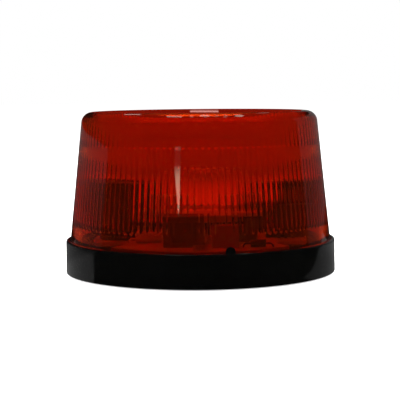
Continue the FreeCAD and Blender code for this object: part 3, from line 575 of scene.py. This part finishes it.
def index_tab():
    """Half-round tab that stands on the rim."""
    half = TAB_WIDTH / 2
    low = RIM_TOP - TAB_SUNK
    centre = RIM_TOP + TAB_HEIGHT - half
    deep = TAB_FACES[1] - TAB_FACES[0]
    middle = sum(TAB_FACES) / 2
    deselect()
    bpy.ops.mesh.primitive_cylinder_add(vertices=48, radius=half * MM, depth=deep * MM,
                                        location=(middle * MM, 0, centre * MM),
                                        rotation=(0, math.pi / 2, 0))
    crown = done(bpy.context.object, "tab_crown")
    shank = block("tab_shank", (deep, TAB_WIDTH, centre - low), (middle, 0, (low + centre) / 2))
    tab = combine(crown, shank, "UNION")
    step = tab.modifiers.new("edges", "BEVEL")
    step.width = TAB_EDGE * MM
    step.segments = 2
    bpy.ops.object.modifier_apply(modifier=step.name)
    tab.rotation_euler.z = math.radians(TAB_ANGLE)
    done(tab, "index_tab")
    put_on(tab, "base", "black_plastic", "base_housing")


# Studio


def stepped(tree, value, start, end, low, high):
    """A value that runs from low to high between start and end."""
    made = tree.nodes.new("ShaderNodeMapRange")
    made.interpolation_type = "SMOOTHSTEP"
    settings = {"From Min": start, "From Max": end, "To Min": low, "To Max": high}
    for name, setting in settings.items():
        made.inputs[name].default_value = setting
    tree.links.new(value, made.inputs["Value"])
    return made.outputs["Result"]


def feed(tree, socket, value):
    """A plain number is set on the socket, anything else is linked to it."""
    if isinstance(value, float):
        socket.default_value = value
    else:
        tree.links.new(value, socket)


def worked(tree, operation, *values):
    made = tree.nodes.new("ShaderNodeMath")
    made.operation = operation
    for socket, value in zip(made.inputs, values):
        feed(tree, socket, value)
    return made.outputs[0]


def total(tree, levels):
    result = levels[0]
    for level in levels[1:]:
        result = worked(tree, "ADD", result, level)
    return result


def by_ray(tree, plain, glossy, through, camera):
    """Strength for lighting, mirroring, seeing through the lens, and the camera itself."""
    rays = tree.nodes.new("ShaderNodeLightPath")
    level = plain
    for ray, value in (("Is Glossy Ray", glossy), ("Is Transmission Ray", through),
                       ("Is Camera Ray", camera)):
        mix = tree.nodes.new("ShaderNodeMix")
        mix.data_type = "FLOAT"
        tree.links.new(rays.outputs[ray], mix.inputs[0])
        feed(tree, mix.inputs[2], level)
        feed(tree, mix.inputs[3], value)
        level = mix.outputs[0]
    return level


def place_of(tree, kind):
    """The three axes of a texture coordinate."""
    split = tree.nodes.new("ShaderNodeSeparateXYZ")
    tree.links.new(tree.nodes.new("ShaderNodeTexCoord").outputs[kind], split.inputs[0])
    return split.outputs


def world():
    """White to the camera, dark to the gloss; the lens sees it bright behind and at the sides."""
    sky = bpy.data.worlds.new("studio")
    bpy.context.scene.world = sky
    sky.use_nodes = True
    tree = sky.node_tree
    tree.nodes.clear()
    across, back, _ = place_of(tree, "Generated")
    aside = worked(tree, "ABSOLUTE", across)
    through = total(tree, [stepped(tree, back, *SKY_BACK), stepped(tree, aside, *SKY_MIDDLE),
                           stepped(tree, aside, *SKY_SIDES)])
    shader = tree.nodes.new("ShaderNodeBackground")
    shader.inputs["Color"].default_value = (1, 1, 1, 1)
    strength = by_ray(tree, SKY_PLAIN, SKY_GLOSS, through, SKY_CAMERA)
    tree.links.new(strength, shader.inputs["Strength"])
    output = tree.nodes.new("ShaderNodeOutputWorld")
    tree.links.new(shader.outputs[0], output.inputs["Surface"])


def floor_through(tree):
    """What the lens sees of the floor: dark in front, lit behind, with a bright patch."""
    across, along, _ = place_of(tree, "Object")
    aside = worked(tree, "ABSOLUTE", worked(tree, "SUBTRACT", across, FLOOR_MIDDLE))
    levels = [stepped(tree, along, *ramp) for ramp in FLOOR_ALONG]
    levels.append(stepped(tree, aside, *FLOOR_SIDES))
    patch = worked(tree, "MULTIPLY", stepped(tree, along, *PATCH_START),
                   stepped(tree, along, *PATCH_END))
    levels.append(worked(tree, "MULTIPLY", patch, stepped(tree, aside, *PATCH_SIDES)))
    return total(tree, levels)


def floor():
    """Pale floor that keeps the shadow; the gloss sees it dark, the lens sees it by place."""
    deselect()
    bpy.ops.mesh.primitive_plane_add(size=FLOOR_SIZE, location=(0, 0, 0))
    ground = done(bpy.context.object, "studio_floor")
    material = bpy.data.materials.new("studio_floor")
    material.use_nodes = True
    tree = material.node_tree
    tree.nodes.clear()
    paper = tree.nodes.new("ShaderNodeBsdfDiffuse")
    paper.inputs["Color"].default_value = (*PAPER, 1)
    light = tree.nodes.new("ShaderNodeEmission")
    light.inputs["Strength"].default_value = FLOOR_PLAIN
    lit = tree.nodes.new("ShaderNodeAddShader")
    tree.links.new(paper.outputs[0], lit.inputs[0])
    tree.links.new(light.outputs[0], lit.inputs[1])
    plain = tree.nodes.new("ShaderNodeEmission")
    strength = by_ray(tree, FLOOR_PLAIN, FLOOR_GLOSS, floor_through(tree), FLOOR_PLAIN)
    tree.links.new(strength, plain.inputs["Strength"])
    rays = tree.nodes.new("ShaderNodeLightPath")
    either = worked(tree, "MAXIMUM", rays.outputs["Is Glossy Ray"],
                    rays.outputs["Is Transmission Ray"])
    mix = tree.nodes.new("ShaderNodeMixShader")
    tree.links.new(either, mix.inputs[0])
    tree.links.new(lit.outputs[0], mix.inputs[1])
    tree.links.new(plain.outputs[0], mix.inputs[2])
    output = tree.nodes.new("ShaderNodeOutputMaterial")
    tree.links.new(mix.outputs[0], output.inputs["Surface"])
    ground.data.materials.append(material)


def softbox(name, size, place, power, through):
    deselect()
    bpy.ops.object.light_add(type="AREA", location=place)
    lamp = bpy.context.object
    lamp.name = name
    lamp.data.shape = "RECTANGLE"
    lamp.data.size, lamp.data.size_y = size
    lamp.data.energy = power
    direction = Vector([a - p for a, p in zip(SOFTBOX_AIM, place)])
    lamp.rotation_euler = direction.to_track_quat("-Z", "Y").to_euler()
    lamp.visible_glossy = False
    lamp.visible_transmission = through
    lamp.visible_camera = False


def card(name, strength, colour, fades, corners):
    """A lit card that only the gloss of the object sees."""
    deselect()
    bpy.ops.mesh.primitive_plane_add(size=1)
    piece = bpy.context.object
    for vertex, corner in zip(piece.data.vertices, corners):
        vertex.co = [c * MM for c in corner]
    piece.name = name
    material = bpy.data.materials.new(name)
    material.use_nodes = True
    tree = material.node_tree
    tree.nodes.clear()
    glow = tree.nodes.new("ShaderNodeEmission")
    glow.inputs["Color"].default_value = (*colour, 1)
    for axis, start, end, first, last in fades:
        place = place_of(tree, "Object")[axis]
        factor = stepped(tree, place, start * MM, end * MM, first, last)
        strength = worked(tree, "MULTIPLY", factor, strength)
    tree.links.new(by_ray(tree, 0.0, strength, 0.0, 0.0), glow.inputs["Strength"])
    output = tree.nodes.new("ShaderNodeOutputMaterial")
    tree.links.new(glow.outputs[0], output.inputs["Surface"])
    piece.data.materials.append(material)
    piece.visible_camera = False
    piece.visible_diffuse = False
    piece.visible_transmission = False
    piece.visible_shadow = False


def studio():
    world()
    floor()
    for box in SOFTBOXES:
        softbox(*box)
    for row in CARDS:
        card(*row)
    for strength, corners in EDGE_SPARKS:
        raised = [(*corner, SPARK_UP) for corner in corners]
        card("edge_spark", strength, SPARK_COLOUR, (), raised)
    card(*BACK_CARD)


def camera():
    bpy.ops.object.camera_add()
    eye = bpy.context.object
    eye.name = "photo_camera"
    eye.data.lens = CAMERA_FOCAL
    eye.data.sensor_width = CAMERA_SENSOR
    eye.data.clip_start = CAMERA_NEAREST
    turn = (Matrix.Rotation(math.radians(90 - CAMERA_PITCH), 4, "X")
            @ Matrix.Rotation(math.radians(-CAMERA_ROLL), 4, "Z"))
    eye.matrix_world = Matrix.Translation(CAMERA_PLACE) @ turn
    bpy.context.scene.camera = eye


camera()
finish_frame_nodes()
base_cup()
index_tab()
lens()
studio()
bpy.context.scene.view_settings.view_transform = "Standard"
